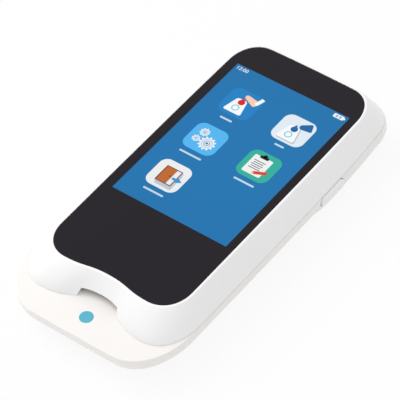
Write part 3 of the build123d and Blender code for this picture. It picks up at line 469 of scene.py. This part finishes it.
def drop(radius):
    """A disc with its far side drawn out to a point."""
    piece = disc(radius, 32)
    for height, pull in DROP_BANDS:
        select_points(piece, lambda x, y: y > height * radius)
        bpy.ops.transform.translate(value=(0, pull * radius * MM, 0))
    select_points(piece, lambda x, y: y > DROP_TIP * radius)
    bpy.ops.transform.resize(value=(DROP_TIP_NARROWER, 1, 1), center_override=(0, 0, 0))
    bpy.ops.object.mode_set(mode="OBJECT")
    return piece


def cog(radius, teeth, rise=1.28):
    """A disc with every second pair of points pushed out to a tooth."""
    piece = disc(radius, 4 * teeth)
    step = pi / (2 * teeth)
    select_points(piece, lambda x, y: round(atan2(y, x) / step) % 4 < 2)
    bpy.ops.transform.resize(value=(rise, rise, 1), center_override=(0, 0, 0))
    bpy.ops.object.mode_set(mode="OBJECT")
    return piece


def triangle(radius):
    """A disc of three points, the tip of an arrow."""
    return disc(radius, 3)


def lay(piece, recipe, x, y, layer, turn=0.0):
    """Turns a flat shape, lays it on the glass by its place in the picture and thickens it."""
    piece.rotation_euler.z = radians(turn)
    piece.location.x = (x + PICTURE_MIDDLE_X) * MM
    piece.location.y = (y + PICTURE_MIDDLE_Y) * MM
    piece.location.z = GLASS_TOP + layer * LAYER
    piece.select_set(True)
    bpy.context.view_layer.objects.active = piece
    bpy.ops.object.transform_apply(location=True, rotation=True, scale=True)
    thick = piece.modifiers.new("thickness", "SOLIDIFY")
    thick.thickness = LAYER
    thick.offset = 1.0
    bpy.ops.object.modifier_apply(modifier=thick.name)
    piece.data.materials.append(recipe.material)
    return piece


def join(name, layers):
    """Joins the layers of one sign and lets it move with the housing."""
    bpy.ops.object.select_all(action="DESELECT")
    for piece in layers:
        piece.select_set(True)
    bpy.context.view_layer.objects.active = layers[0]
    if len(layers) > 1:
        bpy.ops.object.join()
    sign = bpy.context.object
    sign.name = name
    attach(sign, "housing")
    return sign


# %% [markdown]
# ### The ground of the picture
# One blue plate as large as the panel's picture, with a small clock and a battery sign in the
# upper corners.

# %% Ground, clock and battery sign
CLOCK_SIZE = 2.3
CLOCK_MARGIN = 0.7
CHARGE_Y = 35.1

join("picture_ground", [lay(plate(PICTURE_X, PICTURE_Y), ground_blue, 0, 0, 0)])


def digits(text, x, y, layer):
    """Plain numbers, made a mesh before they are laid down."""
    clock = start_piece(bpy.ops.object.text_add)
    clock.data.body = text
    clock.data.size = CLOCK_SIZE * MM
    clock.data.resolution_u = 3
    bpy.ops.object.convert(target="MESH")
    return lay(clock, white_light, x, y, layer)


join("clock_digits", [
    digits("12:00", -PICTURE_X / 2 + CLOCK_MARGIN, PICTURE_Y / 2 - CLOCK_SIZE, 1),
])
join("charge_sign", [
    lay(plate(4.2, 1.9, 0.4), white_light, 20.9, CHARGE_Y, 1),
    lay(plate(0.5, 0.9, 0.1), white_light, 23.3, CHARGE_Y, 1),
    lay(plate(0.9, 1.2, 0.1), pale_blue, 20.2, CHARGE_Y, 2),
    lay(plate(0.9, 1.2, 0.1), pale_blue, 21.6, CHARGE_Y, 2),
])

# %% [markdown]
# ### The five signs
# Each sign is a rounded tile with a plain picture of its task: a drop on a strip, a control
# drop, cog wheels, a list with a pencil, and a door with an arrow. A bar under each stands where
# a caption would be.

# %% Tiles, and where they are from the picture's middle
TILE = 13.3
TILE_ROUND = 3.2
LEFT_COLUMN = -11.4
RIGHT_COLUMN = 11.8
TOP_ROW = 20.8
MIDDLE_ROW = -0.2
LOW_ROW = -21.5
CAPTION_DROP = 2.4
CAPTION_HIGH = 0.8


def tile(colour, x, y):
    """The rounded square under a sign."""
    return lay(plate(TILE, TILE, TILE_ROUND), colour, x, y, 1)


def caption(name, width, x, y):
    """A bar as long as the words of a caption would be."""
    bar = plate(width, CAPTION_HIGH, CAPTION_HIGH / 2)
    join(name, [lay(bar, caption_white, x, y - TILE / 2 - CAPTION_DROP, 1)])


def strip_sign(name, x, y, tile_colour, drop_colour, extra):
    """A test strip seen from above, with a ring for the sample and a drop over it."""
    layers = [
        tile(tile_colour, x, y),
        lay(wedge(7.6, 7.2, 0.9, 0.55), white_light, x - 0.6, y - 1.6, 3),
        lay(ring(1.5, 0.45), ring_teal, x - 0.6, y - 2.6, 4),
        lay(drop(1.35), drop_colour, x - 0.2, y + 0.6, 5, 8),
    ]
    return join(name, layers + extra)


strip_sign("sign_sample", LEFT_COLUMN, TOP_ROW, tile_blue, drop_red, [
    lay(wedge(3.3, 6.2, 1.0, 0.5), skin, LEFT_COLUMN + 2.2, TOP_ROW + 3.3, 6, 72),
    lay(plate(1.5, 3.8, 0.3), white_light, LEFT_COLUMN + 5.2, TOP_ROW + 4.2, 7, -18),
])
strip_sign("sign_control", RIGHT_COLUMN, TOP_ROW - 0.2, tile_pale, deep_blue, [
    lay(wedge(7.9, 7.5, 0.9, 0.55), soft_grey, RIGHT_COLUMN - 0.1, TOP_ROW - 2.2, 2),
    lay(wedge(4.2, 4.8, 0.8, 0.45), deep_blue, RIGHT_COLUMN + 2.9, TOP_ROW + 3.2, 3, 112),
])


def wheel(radius, teeth, x, y, layer):
    """A cog wheel with a hole and a hub."""
    return [
        lay(cog(radius, teeth), wheel_white, x, y, layer),
        lay(ring(radius * 0.8, radius * 0.12), wheel_line, x, y, layer + 1),
        lay(disc(radius * 0.46), wheel_shade, x, y, layer + 1),
        lay(ring(radius * 0.36, radius * 0.16), wheel_white, x, y, layer + 2),
    ]


join("sign_settings", [tile(tile_sky, LEFT_COLUMN, MIDDLE_ROW)]
     + wheel(2.6, 12, LEFT_COLUMN + 1.6, MIDDLE_ROW - 1.5, 2)
     + wheel(1.55, 9, LEFT_COLUMN - 2.2, MIDDLE_ROW + 2.6, 2)
     + wheel(1.25, 8, LEFT_COLUMN - 3.2, MIDDLE_ROW - 1.4, 2))

LINE_COUNT = 5
LINE_PITCH = 0.95
LINE_WIDTHS = (4.8, 4.0)
LINE_HIGH = 0.3
LINE_TOP = 1.9


def list_lines(x, y):
    """Short dark lines on a sheet of paper, long and short in turn."""
    lines = []
    for number in range(LINE_COUNT):
        line = plate(LINE_WIDTHS[number % 2], LINE_HIGH)
        lines.append(lay(line, ink, x, y + LINE_TOP - number * LINE_PITCH, 4))
    return lines


join("sign_results", [
    tile(tile_teal, RIGHT_COLUMN, MIDDLE_ROW),
    lay(plate(7.6, 9.0, 0.5), paper, RIGHT_COLUMN - 0.6, MIDDLE_ROW - 0.2, 3),
    lay(plate(3.6, 1.3, 0.5), clip_black, RIGHT_COLUMN - 0.6, MIDDLE_ROW + 4.2, 4),
    lay(disc(0.8), clip_black, RIGHT_COLUMN - 0.6, MIDDLE_ROW + 4.9, 4),
    lay(plate(5.0, 1.4, 0.2), pencil_red, RIGHT_COLUMN + 2.2, MIDDLE_ROW - 2.6, 5, 24),
    lay(plate(0.9, 1.4, 0.2), skin, RIGHT_COLUMN - 0.3, MIDDLE_ROW - 3.7, 5, 24),
] + list_lines(RIGHT_COLUMN - 0.9, MIDDLE_ROW))

join("sign_leave", [
    tile(tile_white, LEFT_COLUMN, LOW_ROW),
    lay(plate(7.4, 7.8, 0.3), soft_grey, LEFT_COLUMN + 0.4, LOW_ROW - 0.5, 2),
    lay(plate(7.0, 7.6, 0.3), soft_grey, LEFT_COLUMN + 0.9, LOW_ROW - 1.6, 2),
    lay(plate(6.8, 7.8, 0.3), door_dark, LEFT_COLUMN, LOW_ROW, 3),
    lay(plate(1.8, 7.0, 0.1), tile_white, LEFT_COLUMN + 2.1, LOW_ROW, 4),
    lay(plate(4.1, 7.2, 0.2), door_brown, LEFT_COLUMN - 0.9, LOW_ROW, 4),
    lay(disc(0.35, 16), door_dark, LEFT_COLUMN + 0.5, LOW_ROW, 5),
    lay(plate(2.2, 1.1), arrow_blue, LEFT_COLUMN + 2.8, LOW_ROW - 0.4, 5),
    lay(triangle(1.5), arrow_blue, LEFT_COLUMN + 4.3, LOW_ROW - 0.4, 5, -90),
])

caption("caption_sample", 5.2, LEFT_COLUMN, TOP_ROW)
caption("caption_control", 4.0, RIGHT_COLUMN, TOP_ROW)
caption("caption_settings", 9.4, LEFT_COLUMN, MIDDLE_ROW)
caption("caption_results", 8.6, RIGHT_COLUMN, MIDDLE_ROW)
caption("caption_leave", 8.6, LEFT_COLUMN, LOW_ROW)

# %% [markdown]
# ## Floor and light
# White goods on a white ground need light that is soft but not the same from all sides, or
# their forms vanish. A large lamp stands to the left and above, and the world fills in. The
# floor is nearly white to the camera, and the rest of its colour keeps a faint shadow. It lies a
# hair below the feet, so that their undersides and the floor aren't one face.

# %% Floor
FLOOR_SIZE = 3.0
FLOOR_WHITE = 0.88
FLOOR_LOW = (0.90, 0.90, 0.90, 1.0)
FLOOR_HIGH = (0.92, 0.92, 0.92, 1.0)
FLOOR_CLOUDS = 300.0
WHITE = (1.0, 1.0, 1.0, 1.0)

floor = start_piece(bpy.ops.mesh.primitive_plane_add, size=FLOOR_SIZE, location=(0, 0, -LAYER))
floor.name = "floor"
ground = Recipe("floor_white", Roughness=0.9, Specular_IOR_Level=0.0)
ground.feed("Base Color", ground.mix(ground.noise(FLOOR_CLOUDS), FLOOR_LOW, FLOOR_HIGH))


def seen_rays(tree):
    """1 where the camera looks, straight on, in a mirror or through glass, and else 0."""
    light_path = tree.nodes.new("ShaderNodeLightPath")
    seen = light_path.outputs["Is Camera Ray"]
    for kind in ("Is Glossy Ray", "Is Transmission Ray"):
        either = tree.nodes.new("ShaderNodeMath")
        either.operation = "MAXIMUM"
        tree.links.new(seen, either.inputs[0])
        tree.links.new(light_path.outputs[kind], either.inputs[1])
        seen = either.outputs[0]
    return seen


def whiten(recipe, share):
    """Mixes white light into a material where the camera sees it."""
    seen = Field(recipe, seen_rays(recipe.tree))
    light = recipe.node("ShaderNodeEmission", 0, {}, WHITE, 1.0)
    mixed = recipe.node("ShaderNodeMixShader", 0, {}, seen * share)
    links = recipe.tree.links
    links.new(recipe.shader.outputs[0], mixed.socket.node.inputs[1])
    links.new(light.socket, mixed.socket.node.inputs[2])
    links.new(mixed.socket, recipe.tree.nodes["Material Output"].inputs["Surface"])


whiten(ground, FLOOR_WHITE)
floor.data.materials.append(ground.material)

# %% Lamps and world
KEY_FROM = Vector((-0.80, -0.10, 0.95))
KEY_POWER = 6.5
KEY_SIZE = 0.9
FILL = 0.76


def lamp(name, place, power, size):
    """A square area lamp that looks at the meter."""
    bpy.ops.object.light_add(type="AREA", location=place)
    light = bpy.context.object
    light.name = name
    light.data.energy = power
    light.data.size = size
    light.rotation_euler = Vector(place).to_track_quat("Z", "Y").to_euler()
    return light


lamp("key_lamp", KEY_FROM, KEY_POWER, KEY_SIZE)
world = bpy.data.worlds.new("studio")
bpy.context.scene.world = world
world.use_nodes = True
tree = world.node_tree
strength = tree.nodes.new("ShaderNodeMapRange")
strength.inputs["To Min"].default_value = FILL
strength.inputs["To Max"].default_value = 1.0
tree.links.new(seen_rays(tree), strength.inputs["Value"])
background = tree.nodes["Background"]
background.inputs["Color"].default_value = WHITE
tree.links.new(strength.outputs["Result"], background.inputs["Strength"])
